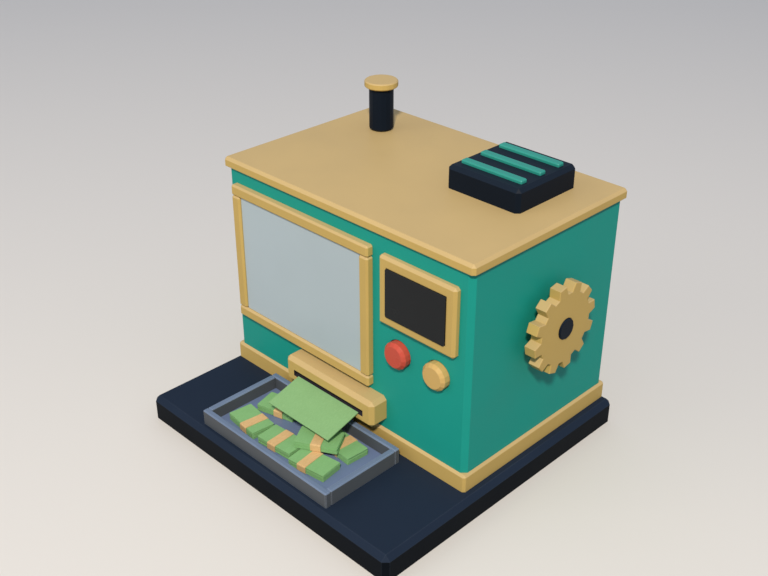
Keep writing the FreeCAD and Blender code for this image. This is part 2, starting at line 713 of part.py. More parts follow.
# Banded note bundles as they lie in the tray, which holds two rows of three:
# centre from the tray's middle (bundle pitches to the right, row pitches to the
# rear), turn in degrees, the band's shift along the bundle (share of its length),
# and how many bundles are below.
BUNDLES = {
    "bundle_front_left": (-0.926, -0.415, -6.5, 0.11, 0),
    "bundle_front_middle": (-0.084, -0.411, 4.7, -0.06, 0),
    "bundle_front_right": (0.738, -0.423, 7.8, -0.11, 0),
    "bundle_rear_left": (-0.886, 0.490, 15.0, 0.10, 0),
    "bundle_rear_right": (0.741, 0.498, -3.6, 0.0, 0),
    "bundle_on_top": (0.465, 0.085, 30.6, 0.0, 1),
}
for name, (right, rear, turn, shift, below) in BUNDLES.items():
    level = f"slab_height + tray_floor + {below} * (bundle_height + 2 * band_thickness)"
    at = (f"cabinet_offset + {right} * bundle_pitch", f"tray_y + {rear} * row_pitch", level)
    bundle = new_piece(name, at, (0, 0, 1), str(turn))
    block(bundle, "Notes", ("bundle_length", "bundle_width", "bundle_height"),
          ("-bundle_length / 2", "-bundle_width / 2", "band_thickness"))
    band = new_piece(name.replace("bundle", "band"), at, (0, 0, 1), str(turn))
    band_start = f"{shift} * bundle_length - band_width / 2"
    block(band, "Band",
          ("band_width", "bundle_width + 2 * band_thickness", "bundle_height + 2 * band_thickness"),
          (band_start, "-bundle_width / 2 - band_thickness", "0"))
    block(band, "Notes", ("band_width", "bundle_width", "bundle_height"),
          (band_start, "-bundle_width / 2", "band_thickness"), cut=True)

# The note coming out of the slot, and everything else that lies on the slope.
path = ("cabinet_offset", "path_y", "path_z")
note = new_piece("printed_note", path, (1, 0, 0), "path_slope")
block(note, "Note", ("note_width", "note_length", "note_thickness"),
      ("-note_width / 2", "note_hold - note_length", "-note_thickness / 2"))

guide_length = "(guide_end - guide_start)"
gate_start = "(nip_along + gate_distance)"
cheek_inner = "(note_width / 2 + paper_gap)"
guide = new_piece("paper_guide", path, (1, 0, 0), "path_slope")
block(guide, "Deck", ("plate_spacing", guide_length, "guide_thickness"),
      ("-plate_spacing / 2", "guide_start", "-note_drop - guide_thickness"))
block(guide, "RollerWindow", ("roller_length + 2 * guide_clear", "roller_window", "guide_thickness"),
      ("-roller_length / 2 - guide_clear", "nip_along - roller_window / 2", "-note_drop - guide_thickness"),
      cut=True)
for side, x in (("Left", f"-{cheek_inner} - cheek_thickness"), ("Right", cheek_inner)):
    block(guide, f"{side}Cheek", ("cheek_thickness", f"guide_end - {gate_start}", "cheek_height"),
          (x, gate_start, "-note_drop"))
block(guide, "Gate",
      (f"2 * {cheek_inner}", "gate_thickness", "cheek_height - note_thickness - 2 * paper_gap"),
      (f"-{cheek_inner}", gate_start, "-note_drop + note_thickness + 2 * paper_gap"))
block(guide, "Stop", (f"2 * {cheek_inner}", "cheek_thickness", "cheek_height"),
      (f"-{cheek_inner}", "guide_end - cheek_thickness", "-note_drop"))
stack = new_piece("note_stack", path, (1, 0, 0), "path_slope")
block(stack, "Notes", ("note_width", "note_length", "stack_height"),
      ("-note_width / 2", f"{gate_start} + gate_thickness + end_play", "-note_drop"))

# Inner frames: an upright plate each side, with a foot pegged to the slab.
for label, side in (("mech_plate_left", -1), ("mech_plate_right", 1)):
    frame = new_piece(label, (f"cabinet_offset + {side} * (plate_spacing + plate_thickness) / 2", "0",
                              "slab_height"))
    rear = "(shaft_y + plate_margin)"
    block(frame, "Lower",
          ("plate_thickness", f"{rear} - feed_y + plate_margin", "feed_z - slab_height + plate_margin"),
          ("-plate_thickness / 2", "feed_y - plate_margin", "0"))
    block(frame, "Upper",
          ("plate_thickness", f"{rear} - idler_y + plate_margin", "gear_rise + plate_margin"),
          ("-plate_thickness / 2", "idler_y - plate_margin", "0"))
    foot_x = "plate_thickness / 2" if side > 0 else "-plate_thickness / 2 - foot_width"
    block(frame, "Foot", ("foot_width", f"{rear} - feed_y + plate_margin", "plate_thickness"),
          (foot_x, "feed_y - plate_margin", "0"))
    for y in peg_places.values():
        rod(frame, "Peg", "-Z", "peg_radius", "peg_length",
            (f"{side} * (plate_thickness / 2 + foot_width / 2)", y, "0"))
    bores = [("feed_y", "feed_z", "axle_radius"), ("pinch_y", "pinch_z", "axle_radius")]
    if side > 0:
        bores.append(("shaft_y", "shaft_z", "shaft_radius"))
    for y, z, radius in bores:
        rod(frame, "Bearing", "+X", f"{radius} + running_fit", "plate_thickness",
            ("-plate_thickness / 2", y, f"{z} - slab_height"), cut=True)
    if side > 0:
        pin = ("plate_thickness / 2", "idler_y", "idler_z - slab_height")
        rod(frame, "IdlerPin", "+X", "axle_radius", "train_gap + train_width + end_play", pin)
        rod(frame, "IdlerShoulder", "+X", "hub_radius", "train_gap - end_play", pin)
        rod(frame, "PinHead", "+X", "axle_radius + end_play", "end_play * 3",
            ("plate_thickness / 2 + train_gap + train_width + end_play", pin[1], pin[2]))

# Gear train outside the right plate. Each wheel is set in mesh with the last:
# a tooth of one wheel meets a gap of the next on the line between centres.
train_x = "(cabinet_offset + plate_outer + train_gap)"
drive_angle = math.degrees(math.atan2(middle_centre[1] - drive_centre[1],
                                      middle_centre[0] - drive_centre[0]))
pinion_angle = math.degrees(math.atan2(feed_centre[1] - middle_centre[1],
                                       feed_centre[0] - middle_centre[0]))
idler_phase = drive_angle + 180 - 180 / size.idler_teeth
pinion_phase = (pinion_angle + 180
                + ((pinion_angle - idler_phase) * size.idler_teeth - 180) / size.pinion_teeth)

drive = new_piece("drive_gear", (train_x, "shaft_y", "shaft_z"))
toothed_wheel(drive, turned(involute_tooth(size.drive_teeth), drive_angle), "drive_teeth",
              "module * (drive_teeth / 2 - 1.25)", "train_width")
rod(drive, "Bore", "+X", "shaft_radius", "train_width", ("0", "0", "0"), cut=True)

idler = new_piece("idler_gear", (train_x, "idler_y", "idler_z"))
toothed_wheel(idler, turned(involute_tooth(size.idler_teeth), idler_phase), "idler_teeth",
              "module * (idler_teeth / 2 - 1.25)", "train_width")
rod(idler, "Bore", "+X", "axle_radius + running_fit", "train_width", ("0", "0", "0"), cut=True)

hub_length = "(plate_spacing - 2 * end_play)"
axle_start = "(-plate_outer - train_gap)"
feed = new_piece("feed_roller", (train_x, "feed_y", "feed_z"))
toothed_wheel(feed, turned(involute_tooth(size.pinion_teeth), pinion_phase), "pinion_teeth",
              "module * (pinion_teeth / 2 - 1.25)", "train_width")
rod(feed, "Axle", "-X", "axle_radius", "2 * plate_outer + 2 * train_gap", ("0", "0", "0"))
rod(feed, "Hub", "-X", "hub_radius", hub_length, ("-train_gap - plate_thickness - end_play", "0", "0"))
rod(feed, "Roller", "-X", "roller_radius", "roller_length",
    ("-train_gap - plate_outer + roller_length / 2", "0", "0"))

pinch = new_piece("pinch_roller", ("cabinet_offset", "pinch_y", "pinch_z"))
rod(pinch, "Axle", "+X", "axle_radius", "2 * plate_outer", ("-plate_outer", "0", "0"))
rod(pinch, "Hub", "+X", "hub_radius", hub_length, (f"-{hub_length} / 2", "0", "0"))
rod(pinch, "Roller", "+X", "roller_radius", "roller_length", ("-roller_length / 2", "0", "0"))

# Drive shaft through the right wall, in a flanged bush.
bush = new_piece("shaft_bush", ("cabinet_right", "shaft_y", "shaft_z"))
rod(bush, "Sleeve", "-X", "bush_radius", "bush_proud + wall + bush_inner", ("bush_proud", "0", "0"))
rod(bush, "Flange", "-X", "bush_flange", "bush_flange_depth", ("-wall", "0", "0"))
rod(bush, "Bore", "-X", "shaft_radius + running_fit", "bush_proud + wall + bush_inner",
    ("bush_proud", "0", "0"), cut=True)

gear_face = "(gear_standoff + gear_thickness)"
shaft = new_piece("drive_shaft", ("cabinet_right", "shaft_y", "shaft_z"))
rod(shaft, "Shaft", "-X", "shaft_radius",
    f"{gear_face} - shaft_seat + cabinet_width / 2 - plate_spacing / 2",
    (f"{gear_face} - shaft_seat", "0", "0"))
rod(shaft, "Collar", "-X", "collar_radius", "collar_length", ("-wall - bush_inner - end_play", "0", "0"))

# Hand gear outside the wall, with a boss that stops just short of the bush.
half_tip = size.gear_tooth_tip / 2
half_root = size.gear_tooth_root / 2
tooth = [(size.gear_root_radius - size.gear_bevel * 2, -half_root), (size.gear_tip_radius, -half_tip),
         (size.gear_tip_radius, half_tip), (size.gear_root_radius - size.gear_bevel * 2, half_root)]
wheel = new_piece("hand_gear", ("cabinet_right + gear_standoff", "shaft_y", "shaft_z"))
toothed_wheel(wheel, turned(tooth, size.gear_phase), "gear_teeth", "gear_root_radius", "gear_thickness")
for face_x in (0.0, size.gear_thickness):
    ease(wheel, "gear_bevel", flat_at("x", face_x))
rod(wheel, "Boss", "-X", "gear_boss_radius", "gear_standoff - bush_proud - end_play", ("0", "0", "0"))
rod(wheel, "Bore", "-X", "shaft_radius", f"{gear_face}", ("gear_thickness", "0", "0"), cut=True)
rod(wheel, "CapSeat", "-X", "hub_cap_radius + fit", "shaft_seat", ("gear_thickness", "0", "0"), cut=True)

hub_cap = new_piece("gear_hub_cap", (f"cabinet_right + {gear_face} - shaft_seat", "shaft_y", "shaft_z"))
prism(hub_cap, "Cap", "+X", "hub_cap_sides", "hub_cap_radius", "hub_cap_depth", ("0", "0", "0"))
ease(hub_cap, "hub_cap_bevel", flat_at("x", size.hub_cap_depth))

doc.recompute()
faults = [item.Label for item in doc.Objects if {"Invalid", "Error"} & set(item.State)]
faults += [piece.Label for piece in pieces
           if piece.Shape.isNull() or not piece.Shape.isValid() or len(piece.Shape.Solids) != 1]
if faults:
    raise RuntimeError(f"failed pieces: {faults}")

for piece in pieces:
    piece.Shape.exportStep(f"parts/{piece.Label}.step")
    print(piece.Label, round(piece.Shape.Volume, 1))
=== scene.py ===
import json
import math
import random

import bmesh
import bpy
from mathutils import Matrix, Vector


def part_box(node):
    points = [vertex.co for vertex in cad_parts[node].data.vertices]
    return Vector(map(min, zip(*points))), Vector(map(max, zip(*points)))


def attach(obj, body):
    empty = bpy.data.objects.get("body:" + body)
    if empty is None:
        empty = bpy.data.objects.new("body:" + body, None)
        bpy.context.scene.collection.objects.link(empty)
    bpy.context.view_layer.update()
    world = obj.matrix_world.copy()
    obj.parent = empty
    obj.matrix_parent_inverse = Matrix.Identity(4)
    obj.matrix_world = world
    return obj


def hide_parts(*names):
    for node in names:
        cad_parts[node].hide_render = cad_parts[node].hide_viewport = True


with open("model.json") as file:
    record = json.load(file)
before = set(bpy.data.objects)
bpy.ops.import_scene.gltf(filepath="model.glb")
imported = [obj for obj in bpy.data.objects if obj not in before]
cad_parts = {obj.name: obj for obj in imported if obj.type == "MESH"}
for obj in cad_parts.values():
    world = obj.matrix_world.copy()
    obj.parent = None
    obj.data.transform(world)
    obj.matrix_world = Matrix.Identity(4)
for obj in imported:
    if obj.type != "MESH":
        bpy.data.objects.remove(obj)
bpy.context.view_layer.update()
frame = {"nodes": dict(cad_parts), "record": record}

MM = 0.001
bpy.ops.object.select_all(action="DESELECT")
bpy.context.view_layer.objects.active = None


# Base slab: a 16 mm board with a 3 mm chamfer round its top and corners. Its top is
# navy satin paint; its near-black sides are painted shade. The roller leaves a faint
# stipple, and the chamfer's edges are paler, a painted highlight.

def colour(code):
    """Linear RGBA of an sRGB hex value."""
    channels = [int(code[start:start + 2], 16) / 255 for start in (1, 3, 5)]
    return (*[c / 12.92 if c <= 0.04045 else ((c + 0.055) / 1.055) ** 2.4 for c in channels], 1.0)


def add(material, kind, settings, links=()):
    """A shader node with its settings; links are (input, node, output)."""
    made = material.node_tree.nodes.new("ShaderNode" + kind)
    for name, value in settings.items():
        if isinstance(name, int) or name in made.inputs:
            made.inputs[name].default_value = value
        else:
            setattr(made, name, value)
    for target, source, output in links:
        material.node_tree.links.new(source.outputs[output], made.inputs[target])
    return made


def start_material(name):
    """A new material, its shader, and its place in metres on the object."""
    material = bpy.data.materials.new(name)
    material.use_nodes = True
    shader = material.node_tree.nodes["Principled BSDF"]
    place = add(material, "TexCoord", {})
    return material, shader, place


def join_to(material, shader, target, source, output):
    """Links a node's output to one of the shader's inputs."""
    material.node_tree.links.new(source.outputs[output], shader.inputs[target])


def edge_mask(material, radius, low, high):
    """0 on flats and 1 on edges, from how far a rounded normal leans away."""
    rounded = add(material, "Bevel", {"samples": 6, "Radius": radius})
    flat = add(material, "NewGeometry", {})
    lean = add(material, "VectorMath", {"operation": "DOT_PRODUCT"},
               [(0, rounded, "Normal"), (1, flat, "Normal")])
    mask = add(material, "MapRange", {"From Min": high, "From Max": low, "To Min": 0.0, "To Max": 1.0},
               [("Value", lean, "Value")])
    return rounded, mask


def coloured_finish(name, main, edge, *, rough, grain, depth, edge_radius=0.4 * MM, edge_share=0.5,
                    patch=45 * MM, patch_share=0.05, ior=1.5, specular=0.5, top=None,
                    top_from=0.35):
    """A painted or moulded surface: fine relief, slow patches of tone and roughness, and
    paler edges, partly wear where the surface is handled and partly a painted highlight.
    Faces that look up may have a colour of their own, painted light from above."""
    material, shader, place = start_material(name)
    shader.inputs["IOR"].default_value = ior
    shader.inputs["Specular IOR Level"].default_value = specular
    patches = add(material, "TexNoise", {"Scale": 1 / patch, "Detail": 3.0, "Roughness": 0.55},
                  [("Vector", place, "Object")])
    relief = add(material, "TexNoise", {"Scale": 1 / grain, "Detail": 2.0, "Roughness": 0.5},
                 [("Vector", place, "Object")])
    # Paler edges: partly wear, partly a painted highlight where a rounded edge catches the light.
    rounded, mask = edge_mask(material, edge_radius, low=0.90, high=0.995)
    breakup = add(material, "MapRange", {"From Min": 0.35, "From Max": 0.65, "To Min": 0.25, "To Max": 1.0},
                  [("Value", patches, "Fac")])
    wear_and_painted_highlight = add(material, "Math", {"operation": "MULTIPLY"}, [(0, mask, "Result"), (1, breakup, "Result")])
    share = add(material, "Math", {"operation": "MULTIPLY", 1: edge_share}, [(0, wear_and_painted_highlight, "Value")])
    value = add(material, "MapRange", {"From Min": 0.3, "From Max": 0.7, "To Min": 1 - patch_share,
                                       "To Max": 1 + patch_share}, [("Value", patches, "Fac")])
    # The top colour on faces that look up is painted light from above; the sides keep the main colour as
    # painted shade.
    facing = add(material, "SeparateXYZ", {}, [("Vector", place, "Normal")])
    painted_top_light_mask = add(material, "MapRange", {"From Min": top_from, "From Max": top_from + 0.2},
                   [("Value", facing, "Z")])
    painted_top_light_colour = add(material, "Mix", {"data_type": "RGBA", 6: colour(main), 7: colour(top or main)},
                        [(0, painted_top_light_mask, "Result")])
    base = add(material, "HueSaturation", {}, [("Value", value, "Result"), ("Color", painted_top_light_colour, 2)])
    tone = add(material, "Mix", {"data_type": "RGBA", 7: colour(edge)},
               [(0, share, "Value"), (6, base, "Color")])
    gloss = add(material, "MapRange", {"From Min": 0.3, "From Max": 0.7, "To Min": rough - 0.05,
                                       "To Max": rough + 0.05}, [("Value", patches, "Fac")])
    bump = add(material, "Bump", {"Strength": 0.6, "Distance": depth},
               [("Height", relief, "Fac"), ("Normal", rounded, "Normal")])
    join_to(material, shader, "Base Color", tone, 2)
    join_to(material, shader, "Roughness", gloss, "Result")
    join_to(material, shader, "Normal", bump, "Normal")
    return material


def dress(material, *names):
    """Gives CAD nodes a material."""
    for name in names:
        for held in frame["nodes"][name].material_slots:
            held.material = material


# Satin paint with a roller stipple of 1.6 mm; painted shade on the sides, a painted highlight on the edges.
navy_paint = coloured_finish("satin_paint_navy_on_board", "#0B1118", "#46505E", rough=0.45,
                             grain=1.6 * MM, depth=0.05 * MM, edge_radius=0.8 * MM, patch=60 * MM,
                             specular=0.03, top="#222D3E")
dress(navy_paint, "base_slab")


# Plinth, lid, window bars, bezel, slot housing, chimney cap and hand gear: tan
# moulded ABS with the fine spark-eroded grain of its mould and paler edges, partly rubbed, partly a painted
# highlight.
# What looks up is painted a shade paler and greyer, as painted light from above.
tan_abs = coloured_finish("moulded_abs_tan", "#C4A964", "#D6BE8A", rough=0.5, grain=1.2 * MM,
                          depth=0.03 * MM, ior=1.54, patch_share=0.03, edge_share=0.25,
                          specular=0.15, top="#C5AC78")
dress(tan_abs, "plinth_frame", "lid", "window_bar_top", "window_bar_bottom", "window_bar_left",
      "window_bar_right", "screen_bezel", "slot_housing", "chimney_cap", "hand_gear")


# Cabinet shell and its back cover: teal moulded ABS of the same grain. Two screws
# hold the cover over the service opening.
teal_abs = coloured_finish("moulded_abs_teal", "#1C988C", "#3AA69A", rough=0.5, grain=1.2 * MM,
                           depth=0.03 * MM, ior=1.54, patch_share=0.03, specular=0.12)
dress(teal_abs, "body_shell", "back_cover")


# Vent hood, chimney stem and hub cap: charcoal moulded ABS, smoother and with
# crisper edges. The three ribs that lie across the vent are a lighter teal.
# Faces that look up are a paler charcoal: painted light from above.
charcoal_abs = coloured_finish("moulded_abs_charcoal", "#111A26", "#2C3543", rough=0.42, grain=1.2 * MM,
                               edge_radius=0.2 * MM, depth=0.03 * MM, ior=1.54, specular=0.05,
                               top="#1B2532", top_from=0.5)
dress(charcoal_abs, "vent_box", "chimney_stem", "gear_hub_cap")
mint_abs = coloured_finish("moulded_abs_light_teal", "#279486", "#52AFA1", rough=0.45, grain=1.2 * MM,
                           depth=0.03 * MM, ior=1.54)
dress(mint_abs, "vent_rib_front", "vent_rib_middle", "vent_rib_rear")


# Window pane: cast acrylic, etched on the back so that it looks milky blue-grey
# and hides the works behind it. It lies on the front wall between four bars.
milky_acrylic = coloured_finish("etched_acrylic_blue_grey", "#AFC1CA", "#C9D6DC", rough=0.33,
                                grain=0.5 * MM, depth=0.008 * MM, ior=1.49, edge_share=0.3,
                                patch=90 * MM, patch_share=0.03)
dress(milky_acrylic, "window_pane")


# Screen panel: smoked acrylic, nearly black, with a polished face. It is seated
# in the tan bezel.
smoked_acrylic = coloured_finish("smoked_acrylic", "#1C1F22", "#3A3D44", rough=0.25, grain=0.7 * MM,
                                 depth=0.004 * MM, ior=1.49, edge_share=0.5, patch=50 * MM, specular=0.14)
dress(smoked_acrylic, "screen_panel")


# Push buttons: glossy ABS, one red and one gold. Each cap slides in a hole in the
# front wall, on a spring.
red_abs = coloured_finish("gloss_abs_red", "#C4503F", "#DC7F6B", rough=0.30, grain=0.7 * MM,
                          depth=0.01 * MM, ior=1.54, specular=0.25)
gold_abs = coloured_finish("gloss_abs_gold", "#C9A866", "#DDC590", rough=0.32, grain=0.7 * MM,
                           depth=0.01 * MM, ior=1.54, specular=0.25)
dress(red_abs, "red_button")
dress(gold_abs, "gold_button")


# Tray: enamelled sheet steel. The floor and the walls' tops are a pale blue, a painted reflection of the
# sky; the walls' sides are darker, painted shade, and their rims carry a painted highlight.
tray_floor_painted_sky_reflection = coloured_finish("enamel_blue_grey", "#6B7DA2", "#8C9CBA", rough=0.42, grain=1.1 * MM,
                                    depth=0.02 * MM, ior=1.5)
tray_wall_painted_shade_and_reflection = coloured_finish("enamel_slate", "#51575D", "#9FAFC8", rough=0.36, grain=1.1 * MM,
                                   depth=0.02 * MM, ior=1.5, edge_share=0.8, specular=0.14,
                                   top="#6B7D98")
dress(tray_floor_painted_sky_reflection, "tray_floor")
dress(tray_wall_painted_shade_and_reflection, "tray_wall_front", "tray_wall_back", "tray_wall_left", "tray_wall_right")


# Bundles of play notes: each is a packet of thick green paper, cut square and
# knocked up by hand, so the sheets lie a few tenths out of line. The band holds
# the middle tight and the ends puff up a little.
SHEETS = 8
SHEET_SHARE = 0.93
OUT_OF_LINE = 0.22 * MM
SHEET_CORNER = 0.5 * MM
CUTS_ALONG = 11
PUFF = 0.09
PUFF_REACH = 8 * MM
FIBRE_SQUEEZE, FIBRE_TURN = 0.22, 0.4
CLOUD = 9 * MM
BUNDLE_TURNS = {"front_left": -6.5, "front_middle": 4.7, "front_right": 7.8,
                "rear_left": 15.0, "rear_right": -3.6, "on_top": 30.6}
hands = random.Random(11)


def paper_stock(name, main, fibre, *, fibre_length, share):
    """Uncoated paper: matt, with short fibres a shade off the sheet's own colour."""
    material, shader, place = start_material(name)
    shader.inputs["IOR"].default_value = 1.45
    shader.inputs["Specular IOR Level"].default_value = 0.2
    shader.inputs["Roughness"].default_value = 0.85
    drawn = add(material, "Mapping",
                {"Scale": (1.0, FIBRE_SQUEEZE, 1.0), "Rotation": (0.0, 0.0, FIBRE_TURN)},
                [("Vector", place, "Object")])
    fibres = add(material, "TexNoise", {"Scale": 1 / fibre_length, "Detail": 4.0, "Roughness": 0.7},
                 [("Vector", drawn, "Vector")])
    cloud = add(material, "TexNoise", {"Scale": 1 / CLOUD, "Detail": 2.0}, [("Vector", place, "Object")])
    picked = add(material, "MapRange", {"From Min": 0.45, "From Max": 0.7, "To Max": share},
                 [("Value", fibres, "Fac")])
    tone = add(material, "MapRange", {"To Min": 0.95, "To Max": 1.05}, [("Value", cloud, "Fac")])
    sheet = add(material, "HueSaturation", {"Color": colour(main)}, [("Value", tone, "Result")])
    base = add(material, "Mix", {"data_type": "RGBA", 7: colour(fibre)},
               [(0, picked, "Result"), (6, sheet, "Color")])
    bump = add(material, "Bump", {"Strength": 0.5, "Distance": 0.03 * MM}, [("Height", fibres, "Fac")])
    join_to(material, shader, "Base Color", base, 2)
    join_to(material, shader, "Normal", bump, "Normal")
    return material


def start_cube(name, size, centre=(0.0, 0.0, 0.0)):
    """A block at its size, open in edit mode with nothing selected."""
    bpy.ops.mesh.primitive_cube_add(size=1, location=centre, scale=size)
    piece = bpy.context.object
    piece.name = name
    bpy.ops.object.transform_apply(location=True, rotation=True, scale=True)
    bpy.ops.object.mode_set(mode="EDIT")
    bpy.ops.mesh.select_all(action="DESELECT")
    return piece


def pick(piece, what, test):
    """Selects the edges or faces that pass a test, and only those."""
    mesh = bmesh.from_edit_mesh(piece.data)
    bpy.ops.mesh.select_all(action="DESELECT")
    bpy.context.tool_settings.mesh_select_mode = (False, what == "edges", what == "faces")
    for item in getattr(mesh, what):
        if test(item):
            item.select_set(True)
    mesh.select_flush_mode()
    bmesh.update_edit_mesh(piece.data)


def runs_along(axis):
    """A test for edges parallel to an axis."""
    def test(edge):
        line = (edge.verts[1].co - edge.verts[0].co).normalized()
        return abs(line[axis]) > 0.999
    return test


def settle(piece, centre, turn):
    """Turns a piece about +Z, puts it in its place and leaves its object unturned at the origin."""
    bpy.ops.object.mode_set(mode="OBJECT")
    piece.rotation_euler = (0.0, 0.0, math.radians(turn))
    piece.location = centre
    bpy.ops.object.transform_apply(location=True, rotation=True, scale=True)
    bpy.ops.object.select_all(action="DESELECT")


def lie_of(node, turn):
    """Centre and full size of a block that is turned about +Z, read from its CAD node."""
    low, high = (Vector(corner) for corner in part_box(node))
    centre = (low + high) / 2
    level = Matrix.Rotation(-math.radians(turn), 3, "Z")
    corners = [level @ (vertex.co - centre) for vertex in frame["nodes"][node].data.vertices]
    return centre, [2 * max(corner[axis] for corner in corners) for axis in range(3)]


bundle_paper = paper_stock("uncoated_paper_green", "#7FB276", "#95C58C", fibre_length=0.5 * MM,
                           share=0.3)
for spot, turn in BUNDLE_TURNS.items():
    centre, (length, width, height) = lie_of("bundle_" + spot, turn)
    band_centre, band_size = lie_of("band_" + spot, turn)
    bundle_line = Vector((math.cos(math.radians(turn)), math.sin(math.radians(turn)), 0))
    band_shift = (band_centre - centre) @ bundle_line
    pitch = height / SHEETS
    bundle = start_cube("packet_" + spot,
                        (length - 2 * OUT_OF_LINE, width - 2 * OUT_OF_LINE, pitch * SHEET_SHARE),
                        (0, 0, (pitch - height) / 2))
    pick(bundle, "edges", runs_along(0))
    bpy.ops.mesh.subdivide(number_cuts=CUTS_ALONG)
    ends = length / 2 - 2 * OUT_OF_LINE
    pick(bundle, "edges", lambda edge: runs_along(2)(edge) and abs(edge.verts[0].co.x) > ends)
    bpy.ops.mesh.bevel(affect="EDGES", offset=SHEET_CORNER, segments=2)
    bpy.ops.mesh.select_all(action="SELECT")
    last = (0.0, 0.0)
    for layer in range(1, SHEETS):
        lies = (hands.uniform(-OUT_OF_LINE, OUT_OF_LINE), hands.uniform(-OUT_OF_LINE, OUT_OF_LINE))
        bpy.ops.mesh.duplicate()
        bpy.ops.transform.translate(value=(lies[0] - last[0], lies[1] - last[1], pitch))
        last = lies
    bpy.ops.object.mode_set(mode="OBJECT")
    for vertex in bundle.data.vertices:
        away = abs(vertex.co.x - band_shift) - band_size[0] / 2
        share = min(max(away / PUFF_REACH, 0.0), 1.0)
        vertex.co.z *= 1 + PUFF * share * share * (3 - 2 * share)
    settle(bundle, centre, turn)
    bundle.data.materials.append(bundle_paper)
    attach(bundle, "machine")
    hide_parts("bundle_" + spot)


# Bands: a strip of kraft paper wound tight once round each packet, its free end
# glued down on top. It rounds over the packet's corners.
BAND_PAPER = 0.35 * MM
BAND_CORNER = 0.7 * MM
FLAP_LENGTH = 5 * MM
FLAP_SHARE = 0.97
FLAP_PAPER = 0.14 * MM
FLAP_ROUNDING = 0.8
kraft = paper_stock("kraft_paper", "#D6B481", "#B8975F", fibre_length=0.7 * MM, share=0.45)
for spot, turn in BUNDLE_TURNS.items():
    centre, (length, width, height) = lie_of("band_" + spot, turn)
    band = start_cube("paper_band_" + spot, (length, width, height))
    pick(band, "faces", lambda face: abs(face.normal.x) > 0.9)
    bpy.ops.mesh.delete(type="FACE")
    pick(band, "edges", runs_along(0))
    bpy.ops.mesh.bevel(affect="EDGES", offset=BAND_CORNER, segments=4)
    bpy.ops.object.mode_set(mode="OBJECT")
    wall = band.modifiers.new("wall", "SOLIDIFY")
    wall.thickness = BAND_PAPER
    wall.offset = -1.0
    bpy.ops.object.modifier_apply(modifier="wall")
    flap_middle = height / 2 + FLAP_PAPER / 2
    flap = start_cube("flap", (length * FLAP_SHARE, FLAP_LENGTH, FLAP_PAPER),
                      (0, FLAP_LENGTH / 2 - width / 2 + BAND_CORNER, flap_middle))
    pick(flap, "edges", lambda edge: runs_along(0)(edge) and edge.verts[0].co.z > flap_middle)
    bpy.ops.mesh.bevel(affect="EDGES", offset=FLAP_PAPER * FLAP_ROUNDING, segments=2)
    bpy.ops.object.mode_set(mode="OBJECT")
    band.select_set(True)
    bpy.context.view_layer.objects.active = band
    bpy.ops.object.join()
    settle(band, centre, turn)
    bpy.ops.object.select_all(action="DESELECT")
    band.data.materials.append(kraft)
    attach(band, "machine")
    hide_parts("band_" + spot)


# Notes that aren't banded: the printed one, on a thin pale green card, and the
# stack of blanks inside. Both are guillotined square.
green_card = paper_stock("uncoated_card_green", "#82AE77", "#98C28D", fibre_length=0.6 * MM, share=0.35)
dress(green_card, "printed_note")
dress(bundle_paper, "note_stack")


# Slot shade sheet: black felt on the four walls of the slot, a dark sheet put in as
# painted shade for the slot's inside. It follows the slope of the paper path, from the
# housing's face through the cabinet's wall.
SLOT_WIDTH = 61.5 * MM
SLOT_BELOW, SLOT_ABOVE = 0.65 * MM, 3.4 * MM
SHELL_WALL = 3 * MM
SHADE_SHEET_FELT = 0.15 * MM
SHADE_SHEET_GAP = 0.02 * MM
housing_low, housing_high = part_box("slot_housing")
note_low, note_high = (Vector(corner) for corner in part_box("printed_note"))
path_middle = (note_low + note_high) / 2
feed_axis = next(joint["axis"] for joint in frame["record"]["behaviour"]["joints"]
                 if joint["name"] == "note_feed")
path_slope = math.atan2(feed_axis[2], feed_axis[1])
shade_sheet_length = 4 * (housing_high[1] - housing_low[1])
shade_sheet = start_cube("slot_liner",
                   (SLOT_WIDTH - 2 * SHADE_SHEET_GAP, shade_sheet_length, SLOT_BELOW + SLOT_ABOVE - 2 * SHADE_SHEET_GAP),
                   (0, shade_sheet_length / 2, (SLOT_ABOVE - SLOT_BELOW) / 2))
pick(shade_sheet, "faces", lambda face: abs(face.normal.y) > 0.9)
bpy.ops.mesh.delete(type="FACE")
bpy.ops.object.mode_set(mode="OBJECT")
shade_sheet.rotation_euler = (path_slope, 0.0, 0.0)
shade_sheet.location = path_middle
bpy.ops.object.transform_apply(location=True, rotation=True, scale=True)
bpy.ops.object.mode_set(mode="EDIT")
for y, outward in ((housing_low[1] + SHADE_SHEET_GAP, -1), (housing_high[1] + SHELL_WALL, 1)):
    bpy.ops.mesh.select_all(action="SELECT")
    bpy.ops.mesh.bisect(plane_co=(0, y, 0), plane_no=(0, outward, 0), clear_outer=True)
bpy.ops.object.mode_set(mode="OBJECT")
shade_sheet_wall = shade_sheet.modifiers.new("felt", "SOLIDIFY")
shade_sheet_wall.thickness = SHADE_SHEET_FELT
shade_sheet_wall.offset = -1.0
bpy.ops.object.modifier_apply(modifier="felt")
bpy.ops.object.select_all(action="DESELECT")

# Pressed wool felt, as painted shade: nearly black, with no gloss and a nap of half-millimetre tufts.
shade_felt, shade_felt_shader, shade_felt_place = start_material("pressed_felt_black")
shade_felt_shader.inputs["Roughness"].default_value = 0.95
shade_felt_shader.inputs["Specular IOR Level"].default_value = 0.1
nap = add(shade_felt, "TexNoise", {"Scale": 1 / (0.5 * MM), "Detail": 4.0},
          [("Vector", shade_felt_place, "Object")])
tufts = add(shade_felt, "Mix", {"data_type": "RGBA", 6: colour("#1B1A20"), 7: colour("#34323A")},
            [(0, nap, "Fac")])
pile = add(shade_felt, "Bump", {"Strength": 0.8, "Distance": 0.1 * MM}, [("Height", nap, "Fac")])
join_to(shade_felt, shade_felt_shader, "Base Color", tufts, 2)
join_to(shade_felt, shade_felt_shader, "Normal", pile, "Normal")
shade_sheet.data.materials.append(shade_felt)
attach(shade_sheet, "machine")


